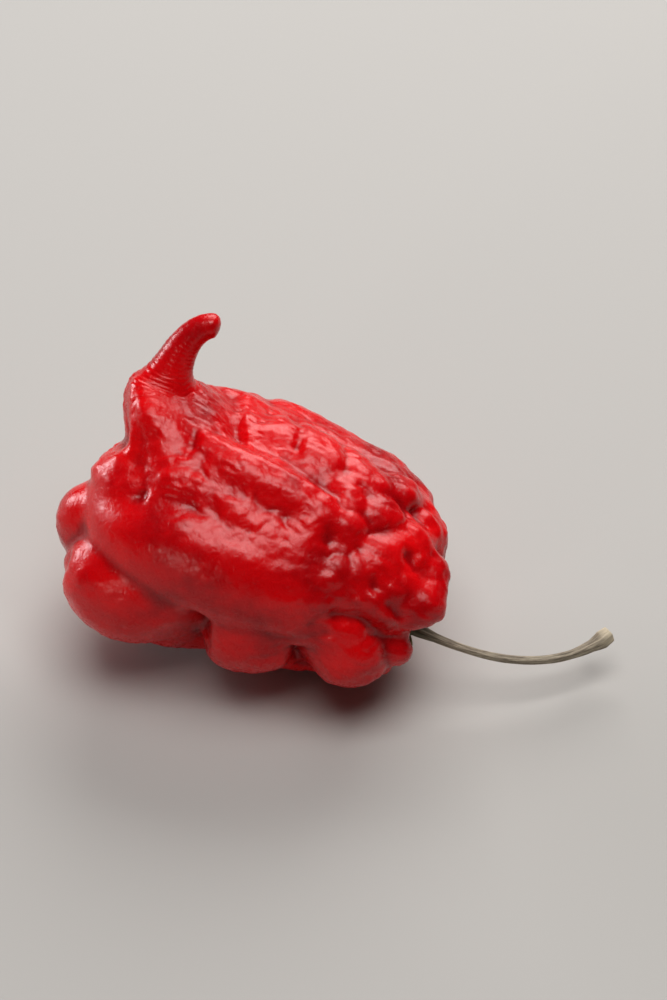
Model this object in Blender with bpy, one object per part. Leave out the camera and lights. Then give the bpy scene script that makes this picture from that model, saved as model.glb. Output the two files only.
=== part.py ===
"""A ripe scorpion chili pepper, picked and lying on its belly: pod with its stinger, calyx and stem.

+X runs along the pod to its stem, +Z is up, and the origin is on the flat spot that the belly rests on.
The pod is shaped in its own axes first, in millimetres, with x along the pod and its middle at (0, 0, 0).
Round the pod, angles are in degrees from its top: 90 is the near side (-Y), 180 the belly, 270 the far side.
"""

import math

import bmesh
import bpy
import numpy as np

MM = 0.001
X_AXIS = np.array([1.0, 0.0, 0.0])

# How the pod lies: its stem end is down by this angle, and its middle is this high over the flat spot
POD_PITCH = 13.0
POD_HEIGHT = 15.5

# The barrel, which is the pod without its lobes. Across from its fullest side it is slimmer by the share
# SLIMMER, and by more towards the stem. Its ends are squarer on the full side.
POD_HALF_LENGTH = 22.0
POD_RADIUS = 15.7
FULL_SIDE = -50.0
SLIMMER = 0.16
SLIMMER_TO_STEM = 0.19
END_POWER = 2.9
END_POWER_ACROSS = 2.3

# Stem pit at the end of the x axis, with its half width as an angle seen from the pod's middle
PIT_DEPTH = 3.6
PIT_ANGLE = 0.17

# Each lobe is a dome on the barrel:
# x, angle round the pod, height, half length, half width, and the slant of its length in degrees
LOBES = (
    # long lobes of the near side and the top
    (-3.0, 59, 2.6, 19.0, 6.8, -9),
    (-2.6, 10, 2.3, 10.5, 3.6, -1),
    (2.5, -24, 1.8, 9.5, 4.6, 3),
    (-10.0, 25, 1.4, 5.0, 3.8, -10),
    (-3.0, 22, 1.2, 5.0, 2.8, -6),
    (1.0, 31, 1.1, 4.6, 2.3, -6),
    (6.5, 30, 1.1, 2.8, 2.0, 0),
    (5.3, 15, 1.6, 3.5, 3.0, 0),
    (-9.0, -50, 1.4, 7.0, 5.6, 0),
    (-2.0, -66, 3.1, 12.0, 5.6, -6),
    (9.0, -62, 2.9, 8.0, 4.4, 8),
    # lobes that bulge from the blossom end and from below the near side
    (-17.6, 36, 1.1, 4.2, 3.8, 0),
    (-18.0, 54, 0.9, 4.6, 4.6, 20),
    (-14.2, 13, 1.9, 3.4, 3.8, 0),
    (-16.2, 3, 1.2, 2.0, 1.8, 0),
    (-14.6, 11, 2.9, 1.6, 1.5, 0),
    (-20.4, 102, 3.5, 5.0, 6.8, 0),
    (-12.2, 109, 5.6, 8.8, 8.4, 0),
    (3.8, 112, 2.5, 5.4, 6.8, 0),
    (15.6, 104, 3.6, 5.2, 6.6, 0),
    # knobs of the shoulder and round the stem pit
    (8.3, -5, 1.2, 2.4, 2.2, 0),
    (9.6, -21, 1.1, 2.3, 2.1, 0),
    (12.8, -9, 1.3, 2.8, 2.4, 0),
    (12.6, -34, 2.0, 3.6, 3.4, 0),
    (9.6, 12, 1.2, 2.7, 2.4, 0),
    (14.0, 16, 1.2, 2.6, 2.4, 0),
    (11.5, 28, 1.2, 3.0, 2.2, 0),
    (18.8, -33, 1.5, 2.8, 3.0, 0),
    (17.5, -56, 1.3, 4.4, 4.0, 0),
    (20.0, -6, 2.9, 2.7, 2.5, 0),
    (18.6, 14, 2.0, 5.5, 6.5, 0),
    (20.2, 14.5, 4.2, 3.8, 3.9, 0),
    (19.6, 29, 2.8, 2.6, 2.2, 0),
    (17.0, 40.5, 2.0, 4.6, 1.9, 14),
    (15.5, 70, 1.2, 3.6, 3.0, 0),
    (20.8, 78, 2.4, 3.2, 4.0, 0),
    # far side and belly
    (-8.0, 150, 3.0, 9.0, 6.0, 5),
    (-2.0, 184, 2.6, 12.0, 6.4, 0),
    (-9.0, 214, 2.6, 9.0, 5.6, -8),
    (5.0, 234, 2.2, 11.0, 5.0, 6),
    (-6.0, 262, 2.5, 12.0, 5.4, -5),
    (8.0, 276, 2.0, 9.0, 4.4, 5),
    (11.0, 150, 1.4, 6.0, 5.0, 0),
    (13.0, 196, 1.7, 6.0, 4.8, 0),
    (17.5, 236, 1.6, 4.6, 4.4, 0),
    (18.5, 150, 1.5, 4.0, 4.6, 0),
    (-18.5, 172, 2.0, 5.6, 5.4, 0),
    (-19.0, 236, 2.0, 5.4, 5.2, 0),
    (-17.5, 290, 1.8, 5.4, 4.8, 0),
)
DOME_POWER = 1.3
CREASE_SOFTNESS = 0.55

# Furrows between the lobes: x and angle of both ends, depth, width
FURROWS = (
    (-21.4, -26, -18.6, 13, 2.4, 2.0),
    (-15.0, 21, -12.8, 40, 0.7, 1.3),
    (-13.1, -8, -10.8, 14, 0.6, 0.9),
    (-9.0, 1, 5.0, 0, 0.5, 0.9),
    (-8.0, 20, 3.6, 20, 0.3, 1.2),
    (-10.5, -36, -6.6, -6, 1.2, 1.3),
    (-2.2, -34, -0.2, -14, 0.5, 0.8),
    (3.4, -34, 6.0, -15, 0.5, 0.8),
    (13.2, 58, 18.4, 54, 1.0, 1.7),
    (17.4, 32, 20.6, 34, 0.5, 1.0),
    (-1.9, 94, -1.5, 140, 2.9, 1.6),
    (10.8, 94, 11.0, 140, 2.0, 1.5),
    (-16.5, 96, -15.5, 125, 0.8, 1.3),
    (-5.0, -22, -7.0, -60, 0.7, 1.1),
    (-14.0, 196, -4.0, 200, 1.2, 1.3),
    (4.0, 214, 12.0, 218, 1.2, 1.3),
    (-14.0, 240, 6.0, 248, 1.3, 1.3),
    (-15.0, 280, 9.0, 286, 1.2, 1.2),
)
# Short furrows that run into the stem pit: the angle where each starts on the shoulder and ends at the pit
PIT_FURROWS = ((60, 52), (5, 3), (-27, -22), (122, 112), (172, 176), (222, 216), (262, 268), (306, 312))
PIT_FURROW_X = (16.5, 21.5)
PIT_FURROW_DEPTH = 1.0
PIT_FURROW_WIDTH = 1.0

# Skin: how far noise warps the lobes, and the size and height of the folds, crinkles and pebbles on them
LOBE_WARP = 0.06
LOBE_WARP_SIZE = 0.48
SKIN_WARP = 1.6
SKIN_WARP_SIZE = 7.0
FOLD_SIZE = np.array([11.0, 4.4, 4.4])
FOLD_HEIGHT = 0.6
CRINKLE_SIZE = np.array([4.2, 2.6, 2.6])
CRINKLE_HEIGHT = 0.3
CREASE_ROUNDING = 0.12
PEBBLE_SIZE = np.array([4.2, 3.6, 3.6])
PEBBLE_HEIGHT = 0.25
PEBBLE_HEIGHT_AT_STEM = 0.8
PEBBLE_MEAN = 0.6
# The gain that brings a wave to about 1, the share of its cell that a pebble's middle may lie in, and the softness
# of the creases between pebbles
WAVE_GAIN = 1.6
PEBBLE_SCATTER = 0.9
PEBBLE_CREASE = 0.06

# Where the pebbles grow to their height at the stem, in x. Where the smooth near side starts and ends, in
# degrees round the pod, where it ends in x, and the share of the wrinkles that it lacks. The height of a lobe
# where its skin starts to be taut and where it is fully taut, and the share of the folds that it lacks there
PEBBLY_FROM = (3.0, 15.0)
SMOOTH_SIDE_START = (40.0, 52.0)
SMOOTH_SIDE_END = (76.0, 92.0)
SMOOTH_SIDE_X_END = (4.0, 13.0)
SMOOTH_SIDE_SHARE = 0.8
TAUT_FROM = (0.7, 1.8)
TAUT_SHARE = 0.8

# The stinger: the directions where it grows and where its bulb swells, its path and its radius along it.
# Its tip would close just past the path's end, and its rings crowd towards its root.
TAIL_POLE = (-0.73, 0.17, 0.66)
TAIL_ROOT_RADIUS = 3.8
BULB_POLE = (-0.82, 0.06, 0.56)
BULB_HEIGHT = 4.4
BULB_SIZE = 4.5
FILLET_START = 3.3
FILLET_HEIGHT = 1.9
FILLET_SIZE = 1.9
TAIL_PATH = ((0.0, 0.0, 0.0), (-0.4, 0.9, 2.2), (-0.5, 3.7, 7.6), (3.2, 4.6, 8.0))
TAIL_RADIUS = ((0.0, 3.0), (0.3, 2.25), (0.6, 1.8), (0.85, 1.55), (1.0, 1.45))
TAIL_ROUND_OFF = 0.12
TIP_START = 0.92
TIP_END = 1.003
RING_CROWDING = 1.5
SEAM_SMOOTHING = 0.03
LEAST_SPREAD = 0.05

# Calyx, a thin cap with five blunt teeth sunk in the stem pit, and the gap that parts it from its neighbours
GAP = 0.3
CALYX_ANGLE = 0.15
CALYX_THICKNESS = 0.9
CALYX_THINNING = 0.5
CALYX_TEETH = 5
CALYX_TOOTH = 0.10

# Stem, five-ribbed, from the calyx to its swollen cut end: its path ahead of the calyx and its radius
STEM_FOOT_ANGLE = 0.07
STEM_PATH = ((0.0, 0.0, 0.0), (9.0, 0.0, 0.1), (17.8, 4.3, -2.2), (21.6, 12.6, 0.6))
STEM_RADIUS = (
    (0.0, 0.9),
    (0.04, 0.85),
    (0.12, 0.56),
    (0.25, 0.48),
    (0.5, 0.5),
    (0.8, 0.56),
    (0.9, 0.75),
    (0.955, 1.1),
    (1.0, 1.0),
)
STEM_RIBS = 5
STEM_RIB_HEIGHT = 0.07
STEM_TWIST = 1.2

# Mesh fineness
POD_RINGS = 58
TAIL_RINGS = 18
POD_SIDES = 62
CALYX_RINGS = 7
CALYX_SIDES = 40
STEM_RINGS = 34
STEM_SIDES = 20

CORNERS = np.array([(i, j, k) for i in (0, 1) for j in (0, 1) for k in (0, 1)])
NEIGHBOURS = np.array([(i, j, k) for i in (-1, 0, 1) for j in (-1, 0, 1) for k in (-1, 0, 1)])


def hashed(cells, salt):
    """A steady random number from 0 to 1 for each whole-number cell."""
    c = cells.astype(np.int64).astype(np.uint32)
    n = c[..., 0] * np.uint32(73856093) ^ c[..., 1] * np.uint32(19349663) ^ c[..., 2] * np.uint32(83492791)
    n ^= np.uint32(salt * 40503)
    n = (n ^ (n >> np.uint32(15))) * np.uint32(2246822519)
    n = (n ^ (n >> np.uint32(13))) * np.uint32(3266489917)
    return ((n ^ (n >> np.uint32(16))) & np.uint32(65535)) / 65535.0


def waves(points, salt):
    """Smooth noise from about -1 to 1, with swells about one unit apart."""
    cell = np.floor(points)
    inside = points - cell
    fade = inside**3 * (inside * (inside * 6 - 15) + 10)
    total = np.zeros(points.shape[:-1])
    for corner in CORNERS:
        slope = np.stack([hashed(cell + corner, salt + k) for k in range(3)], axis=-1) * 2 - 1
        weight = np.where(corner == 1, fade, 1 - fade).prod(axis=-1)
        total += weight * (slope * (inside - corner)).sum(axis=-1)
    return total * WAVE_GAIN


def wander(points, salt):
    """Three waves, as an offset that warps a pattern."""
    return np.stack([waves(points, salt + k) for k in range(3)], axis=-1)


def smooth_max(values, softness):
    """The largest of several values, rounded where two are nearly equal."""
    peak = values.max(axis=0)
    return peak + softness * np.log(np.exp((values - peak) / softness).sum(axis=0))


def pebbles(points, salt):
    """Rounded cells about one unit across: 1 on a cell's crown, falling to 0 in the creases between cells."""
    cell = np.floor(points)
    distances = []
    for step in NEIGHBOURS:
        seed = np.stack([hashed(cell + step, salt + k) for k in range(3)], axis=-1)
        distances.append(((cell + step + seed * PEBBLE_SCATTER - points) ** 2).sum(axis=-1))
    return 1 + smooth_max(-np.array(distances), PEBBLE_CREASE)


def eased(value, low, high):
    """0 below the low value, 1 above the high one, and a smooth step between them."""
    t = np.clip((value - low) / (high - low), 0, 1)
    return t * t * (3 - 2 * t)


def unit(vector):
    return np.array(vector) / np.linalg.norm(vector)


def round_angle(points):
    """Angle round the pod, in radians from its top."""
    return np.arctan2(-points[..., 1], points[..., 2])


def barrel(cosine, angle):
    """Radius and squareness of the barrel, by the x part of a direction and the angle round the pod."""
    across = (1 - np.cos(angle - math.radians(FULL_SIDE))) / 2
    radius = POD_RADIUS * (1 - across * (SLIMMER + SLIMMER_TO_STEM * cosine))
    return radius, END_POWER + (END_POWER_ACROSS - END_POWER) * across


def barrel_reach(directions):
    """Distance from the pod's middle to the barrel in each direction."""
    radius, power = barrel(directions[..., 0], round_angle(directions))
    along = np.abs(directions[..., 0]) / POD_HALF_LENGTH
    out = np.hypot(directions[..., 1], directions[..., 2]) / radius
    return (along**power + out**power) ** (-1 / power)


def on_barrel(x, angle):
    """A point of the barrel, its normal, and the directions round and along the pod there."""
    turn = math.radians(angle)
    outward = np.array([0.0, -math.sin(turn), math.cos(turn)])
    sideways = np.array([0.0, -math.cos(turn), -math.sin(turn)])
    radius, power = barrel(x / POD_HALF_LENGTH, turn)
    end = abs(x / POD_HALF_LENGTH)
    out = (1 - end**power) ** (1 / power)
    slope = math.copysign(end ** (power - 1) / POD_HALF_LENGTH, x)
    normal = unit(X_AXIS * slope + outward * out ** (power - 1) / radius)
    along = X_AXIS * (normal @ outward) - outward * normal[0]
    return X_AXIS * x + outward * radius * out, normal, sideways, along


def dome(skin, lobe):
    """Height of one lobe over the barrel's skin. Well outside the lobe it is far below zero."""
    x, angle, height, half_length, half_width, slant = lobe
    centre, normal, sideways, along = on_barrel(x, angle)
    lean = math.radians(slant)
    length_axis = along * math.cos(lean) + sideways * math.sin(lean)
    width_axis = sideways * math.cos(lean) - along * math.sin(lean)
    away = skin - centre
    square = (away @ length_axis / half_length) ** 2 + (away @ width_axis / half_width) ** 2
    square += (away @ normal / (half_length + half_width)) ** 2
    return height * (1 - square**DOME_POWER)


def furrow(skin, line):
    """Depth of a furrow: its full depth on the line between its two ends, easing off beside it."""
    x1, angle1, x2, angle2, depth, width = line
    start = on_barrel(x1, angle1)[0]
    run = on_barrel(x2, angle2)[0] - start
    share = np.clip((skin - start) @ run / (run @ run), 0, 1)
    off = np.linalg.norm(skin - start - share[..., None] * run, axis=-1)
    return depth * np.exp(-((off / width) ** 2))


def all_furrows():
    start, end = PIT_FURROW_X
    to_pit = [(start, a, end, b, PIT_FURROW_DEPTH, PIT_FURROW_WIDTH) for a, b in PIT_FURROWS]
    return list(FURROWS) + to_pit


def distance_from(pole, skin):
    """Distance over the skin from the point where a direction meets it."""
    reach = np.linalg.norm(skin, axis=-1)
    return np.arccos(np.clip((skin @ unit(pole)) / reach, -1, 1)) * reach


def stinger_root(skin):
    """Height of the bulb, and of the fillet that carries the skin up to the stinger's root."""
    bulb = BULB_HEIGHT * np.exp(-((distance_from(BULB_POLE, skin) / BULB_SIZE) ** 2))
    off_root = np.maximum(distance_from(TAIL_POLE, skin) - FILLET_START, 0)
    return bulb + FILLET_HEIGHT * np.exp(-off_root / FILLET_SIZE)


def soft_size(wave):
    """The size of a wave without its sign, rounded where it passes zero."""
    return np.sqrt(wave**2 + CREASE_ROUNDING**2) - CREASE_ROUNDING


def smooth_side(skin):
    """1 on the long near lobe, whose skin is smooth, and 0 off it."""
    angle = np.degrees(round_angle(skin))
    across = eased(angle, *SMOOTH_SIDE_START) * (1 - eased(angle, *SMOOTH_SIDE_END))
    return across * (1 - eased(skin[..., 0], *SMOOTH_SIDE_X_END))


def wrinkles(skin, lobe_height):
    """Height of the folds and crinkles, lower on the taut crowns, and of the pebbles, higher at the stem."""
    bent = skin + SKIN_WARP * wander(skin / SKIN_WARP_SIZE, 21)
    folds = soft_size(waves(bent / FOLD_SIZE, 31))
    crinkles = soft_size(waves(bent / CRINKLE_SIZE, 41))
    knobs = pebbles(bent / PEBBLE_SIZE, 51) - PEBBLE_MEAN
    pebbly = eased(skin[..., 0], *PEBBLY_FROM)
    knob_height = PEBBLE_HEIGHT + (PEBBLE_HEIGHT_AT_STEM - PEBBLE_HEIGHT) * pebbly
    loose = 1 - TAUT_SHARE * eased(lobe_height, *TAUT_FROM)
    height = (FOLD_HEIGHT * folds + CRINKLE_HEIGHT * crinkles) * loose + knob_height * knobs
    return height * (1 - SMOOTH_SIDE_SHARE * smooth_side(skin))


def pod_reach(directions):
    """Distance from the pod's middle to its skin in each direction."""
    bent = directions + LOBE_WARP * wander(directions / LOBE_WARP_SIZE, 11)
    bent /= np.linalg.norm(bent, axis=-1, keepdims=True)
    bare = bent * barrel_reach(bent)[..., None]
    heights = np.stack([np.zeros(bare.shape[:-1])] + [dome(bare, lobe) for lobe in LOBES])
    depths = np.stack([furrow(bare, line) for line in all_furrows()])
    lobe_height = smooth_max(heights, CREASE_SOFTNESS)
    reach = barrel_reach(directions) + lobe_height - depths.max(axis=0)
    reach = reach + stinger_root(directions * barrel_reach(directions)[..., None])
    off_stem = np.arccos(np.clip(directions[..., 0], -1, 1)) / PIT_ANGLE
    reach = reach - PIT_DEPTH * np.exp(-(off_stem**2))
    return reach + wrinkles(directions * reach[..., None], lobe_height) * (1 - np.exp(-(off_stem**4)))


def ring_directions(polar, around):
    """Unit directions on rings that leave the stem pole and close round the tail pole.

    Rings round two opposite poles are slid over a stereographic plane until the far pole is the tail's.
    """
    pole = unit(TAIL_POLE)
    tail = complex(pole[1], pole[2]) / (1 - pole[0])
    w = (1 / np.tan(polar / 2))[:, None] * np.exp(1j * around)[None, :] + tail
    size = np.abs(w) ** 2
    return np.stack([size - 1, 2 * w.real, 2 * w.imag], axis=-1) / (size + 1)[..., None]


def cap_directions(polar, around):
    """Unit directions at angles from the x axis and round it."""
    return np.stack([np.cos(polar), np.sin(polar) * np.cos(around), np.sin(polar) * np.sin(around)], axis=-1)


def turns(sides):
    return np.linspace(0, 2 * math.pi, sides, endpoint=False)


def bezier(points, t):
    """Places and headings on a cubic curve."""
    p = [np.array(point) for point in points]
    t = t[:, None]
    place = (1 - t) ** 3 * p[0] + 3 * t * (1 - t) ** 2 * p[1] + 3 * t**2 * (1 - t) * p[2] + t**3 * p[3]
    heading = (1 - t) ** 2 * (p[1] - p[0]) + 2 * t * (1 - t) * (p[2] - p[1]) + t**2 * (p[3] - p[2])
    return place, heading / np.linalg.norm(heading, axis=1, keepdims=True)


def turned(vectors, start, end):
    """Vectors turned by the shortest rotation that takes one direction to another."""
    axis = np.cross(start, end)
    cosine = float(start @ end)
    return vectors * cosine + np.cross(axis, vectors) + np.outer(vectors @ axis, axis) / (1 + cosine)


def tail_points(root, rings):
    """Rings that carry the root ring along the tail's path, rounding and narrowing it to the tip."""
    middle = root.mean(axis=0)
    spokes = root - middle
    facing = unit(np.cross(spokes, np.roll(spokes, -1, axis=0)).sum(axis=0))
    if facing @ middle < 0:
        facing = -facing
    rise = spokes @ facing
    flat = spokes - np.outer(rise, facing)
    size = np.linalg.norm(flat, axis=1, keepdims=True)
    travel = np.linspace(0, 1, rings + 1)[1:] ** RING_CROWDING
    places, headings = bezier(TAIL_PATH, travel)
    shaft = np.interp(travel, *zip(*TAIL_RADIUS))
    points = []
    for u, place, heading, radius in zip(travel, places, headings, shaft):
        keep = math.exp(-u / TAIL_ROUND_OFF)
        ring = flat / size * (radius + (size - TAIL_RADIUS[0][1]) * keep) + keep * np.outer(rise, facing)
        past = max(0.0, (u - TIP_START) / (TIP_END - TIP_START))
        points.append(middle + place + turned(ring * math.sqrt(1 - past**2), facing, heading))
    return np.array(points)


def smooth_seam(grid, seam):
    """Each ring near the tail's root becomes a mean of the rings beside it, so that no ledge shows there."""
    ring = np.arange(len(grid))
    reach = SEAM_SMOOTHING * len(grid)
    spread = reach * np.exp(-(((ring - seam) / (2 * reach)) ** 2)) + LEAST_SPREAD
    share = np.exp(-(((ring[:, None] - ring[None, :]) / spread[:, None]) ** 2))
    return np.einsum("ij,jkl->ikl", share / share.sum(axis=1, keepdims=True), grid)


def pod_grid(rings, tail_rings, sides):
    """Rings of points from the stem pit to the tail's tip, in the pod's own axes."""
    root_reach = pod_reach(unit(TAIL_POLE)[None, :])[0]
    polar = np.linspace(0, math.pi - TAIL_ROOT_RADIUS / root_reach, rings + 1)[1:]
    directions = ring_directions(polar, turns(sides))
    body = directions * pod_reach(directions)[..., None]
    return smooth_seam(np.concatenate([body, tail_points(body[-1], tail_rings)]), rings)


def calyx_skins(polar, around):
    """Points of the calyx's underside and of its top, which thins towards the rim."""
    directions = cap_directions(polar, around)
    under = pod_reach(directions) + GAP
    thickness = CALYX_THICKNESS * (1 - CALYX_THINNING * np.minimum(polar / CALYX_ANGLE, 1) ** 2)
    return directions * under[..., None], directions * (under + thickness)[..., None]


def placed(points):
    """Points in the pod's own axes, in millimetres, to the part's frame, in metres."""
    pitch = math.radians(POD_PITCH)
    x, y, z = points[..., 0], points[..., 1], points[..., 2]
    up = POD_HEIGHT + z * math.cos(pitch) - x * math.sin(pitch)
    return np.stack([x * math.cos(pitch) + z * math.sin(pitch), y, up], axis=-1) * MM


def material(name, colour, roughness):
    """A Principled material with its colour given as sRGB values from 0 to 255."""
    made = bpy.data.materials.new(name)
    made.use_nodes = True
    shader = made.node_tree.nodes["Principled BSDF"]
    linear = [((c / 255 + 0.055) / 1.055) ** 2.4 for c in colour]
    shader.inputs["Base Color"].default_value = (*linear, 1.0)
    shader.inputs["Roughness"].default_value = roughness
    shader.inputs["Metallic"].default_value = 0.0
    return made


def closed_skin(name, rings, first, last, finish):
    """An object with a closed skin over rings of points, and a point at each end."""
    count, sides = rings.shape[:2]
    points = placed(np.concatenate([rings.reshape(-1, 3), [first, last]]))
    faces = []
    for ring in range(count - 1):
        for side in range(sides):
            after = (side + 1) % sides
            low, high = ring * sides, (ring + 1) * sides
            faces.append((low + side, low + after, high + after, high + side))
    for side in range(sides):
        after = (side + 1) % sides
        faces.append((count * sides, after, side))
        faces.append((count * sides + 1, (count - 1) * sides + side, (count - 1) * sides + after))
    mesh = bpy.data.meshes.new(name)
    mesh.from_pydata(points.tolist(), [], faces)
    made = bmesh.new()
    made.from_mesh(mesh)
    bmesh.ops.recalc_face_normals(made, faces=made.faces)
    made.to_mesh(mesh)
    made.free()
    mesh.shade_smooth()
    mesh.materials.append(finish)
    thing = bpy.data.objects.new(name, mesh)
    bpy.context.scene.collection.objects.link(thing)
    return thing


def rest_on_ground(thing):
    """Cuts the mesh off at the ground and fills the cut, which is the flat spot that the pod rests on."""
    made = bmesh.new()
    made.from_mesh(thing.data)
    everything = made.verts[:] + made.edges[:] + made.faces[:]
    cut = bmesh.ops.bisect_plane(made, geom=everything, plane_no=(0, 0, 1), clear_inner=True)
    rim = [edge for edge in cut["geom_cut"] if isinstance(edge, bmesh.types.BMEdge)]
    filled = bmesh.ops.holes_fill(made, edges=rim)
    for face in filled["faces"]:
        face.smooth = False
    made.to_mesh(thing.data)
    made.free()


def build_pod(rings=POD_RINGS, tail_rings=TAIL_RINGS, sides=POD_SIDES):
    grid = pod_grid(rings, tail_rings, sides)
    pit = X_AXIS * pod_reach(X_AXIS[None, :])[0]
    tip = grid[-1].mean(axis=0)
    pod = closed_skin("pod", grid, pit, tip, material("glossy red skin", (176, 16, 20), 0.3))
    rest_on_ground(pod)
    return pod


def build_calyx(rings=CALYX_RINGS, sides=CALYX_SIDES):
    around = turns(sides)
    reach = CALYX_ANGLE * (1 + CALYX_TOOTH * np.cos(CALYX_TEETH * around))
    polar = np.linspace(0, 1, rings + 1)[1:, None] * reach[None, :]
    under, top = calyx_skins(polar, np.broadcast_to(around, polar.shape))
    middle_under, middle_top = calyx_skins(np.zeros(1), np.zeros(1))
    skins = np.concatenate([under, top[::-1]])
    return closed_skin("calyx", skins, middle_under[0], middle_top[0], material("calyx", (66, 78, 34), 0.6))


def build_stem(rings=STEM_RINGS, sides=STEM_SIDES):
    around = turns(sides)
    foot = calyx_skins(np.full(sides, STEM_FOOT_ANGLE), around)[1]
    foot += GAP * X_AXIS
    foot_middle = calyx_skins(np.zeros(1), np.zeros(1))[1][0] + GAP * X_AXIS
    travel = np.linspace(0, 1, rings + 1)
    places, headings = bezier(STEM_PATH, travel)
    start = X_AXIS * (foot[:, 0].max() + GAP)
    rows = [foot]
    for u, place, heading, radius in zip(travel, places, headings, np.interp(travel, *zip(*STEM_RADIUS))):
        ribs = 1 + STEM_RIB_HEIGHT * np.cos(STEM_RIBS * around + STEM_TWIST * u)
        ring = radius * ribs[:, None] * np.stack([0 * around, np.cos(around), np.sin(around)], axis=-1)
        rows.append(start + place + turned(ring, X_AXIS, heading))
    end = start + places[-1]
    return closed_skin("stem", np.array(rows), foot_middle, end, material("dry stem", (128, 122, 88), 0.7))


def main():
    for thing in list(bpy.data.objects):
        bpy.data.objects.remove(thing)
    build_pod()
    build_calyx()
    build_stem()


if __name__ == "__main__":
    main()
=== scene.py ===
import math
import bpy
import numpy as np
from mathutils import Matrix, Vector


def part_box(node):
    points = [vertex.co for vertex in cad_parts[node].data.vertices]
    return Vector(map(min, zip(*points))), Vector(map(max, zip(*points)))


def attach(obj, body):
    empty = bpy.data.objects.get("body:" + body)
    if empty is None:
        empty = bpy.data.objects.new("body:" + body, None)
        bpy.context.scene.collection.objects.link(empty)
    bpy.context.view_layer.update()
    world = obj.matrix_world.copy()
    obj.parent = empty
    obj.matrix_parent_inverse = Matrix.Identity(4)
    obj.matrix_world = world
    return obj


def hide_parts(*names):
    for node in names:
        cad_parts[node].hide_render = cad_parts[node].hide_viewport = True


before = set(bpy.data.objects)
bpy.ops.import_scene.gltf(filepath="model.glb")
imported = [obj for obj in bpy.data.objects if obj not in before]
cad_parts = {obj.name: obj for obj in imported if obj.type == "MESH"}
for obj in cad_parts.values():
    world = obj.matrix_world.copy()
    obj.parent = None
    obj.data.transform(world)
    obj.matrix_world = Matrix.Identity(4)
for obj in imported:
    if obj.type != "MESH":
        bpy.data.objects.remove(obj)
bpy.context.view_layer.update()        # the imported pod, calyx and stem, in metres
print("frame loaded with", ", ".join(sorted(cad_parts)))

mm = 0.001
xAxis = np.array([1.0, 0.0, 0.0])
waveGain = 1.6              # stretches the noise to about -1 to 1

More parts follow.
